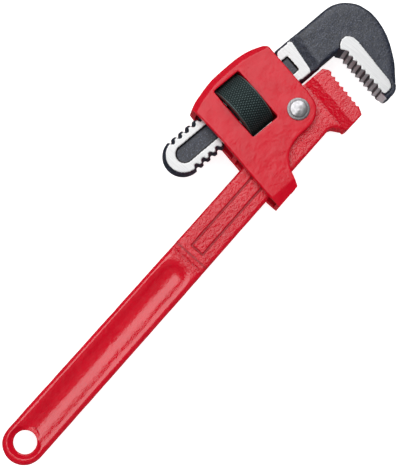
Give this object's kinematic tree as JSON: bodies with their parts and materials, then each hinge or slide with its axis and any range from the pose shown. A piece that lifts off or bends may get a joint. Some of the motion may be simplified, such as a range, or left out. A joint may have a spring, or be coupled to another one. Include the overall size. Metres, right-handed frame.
{
  "type": "pipe wrench",
  "caption": "Stillson-pattern pipe wrench: long bar handle with toothed heel, pivoting stirrup, knurled nut and threaded toothed hook jaw.",
  "frame": {"origin": "centre of the hanging hole at the handle's mid thickness", "axes": "+X along the handle to the jaws, +Y to the back of the hook jaw's shank, +Z out of the side face that carries the nut's window"},
  "size_m": [0.3476, 0.0883, 0.037],
  "materials": {
    "handle_enamel": "gloss",
    "housing_enamel": "satin",
    "black_forging": "phosphated, with ground steel flats and teeth",
    "nut_oxide": "black oxide, knurled",
    "bright_steel": "bright",
    "spring_steel": "blued"
  },
  "bodies": {
    "handle": {"handle_bar": "handle_enamel", "back_leaf_spring": "spring_steel", "back_spring_rivet": "spring_steel"},
    "stirrup": {"housing": "housing_enamel", "pivot_rivet": "bright_steel", "front_leaf_spring": "spring_steel", "front_spring_rivet": "housing_enamel"},
    "nut": {"adjusting_nut": "nut_oxide"},
    "jaw": {"hook_jaw": "black_forging"}
  },
  "joints": [
    {"name": "housing_pivot", "type": "hinge", "parent": "handle", "child": "stirrup", "pos_m": [0.2567, 0.0094, 0], "axis": [0, 0, 1], "range_deg": [-2.5, 2.5], "stiffness_Nm_per_rad": 20, "deforming": ["back_leaf_spring", "front_leaf_spring"]},
    {"name": "nut_spin", "type": "hinge", "parent": "stirrup", "child": "nut", "pos_m": [0.23796, 0.03628, 0], "axis": [0.9903, -0.1392, 0], "range_deg": [-2292, 878]},
    {"name": "jaw_slide", "type": "slide", "parent": "stirrup", "child": "jaw", "axis": [0.9903, -0.1392, 0], "range_m": [-0.0134, 0.035]}
  ],
  "couplings": [
    {"joint": "nut_spin", "follows": "jaw_slide", "rad_per_m": -1142.4}
  ]
}
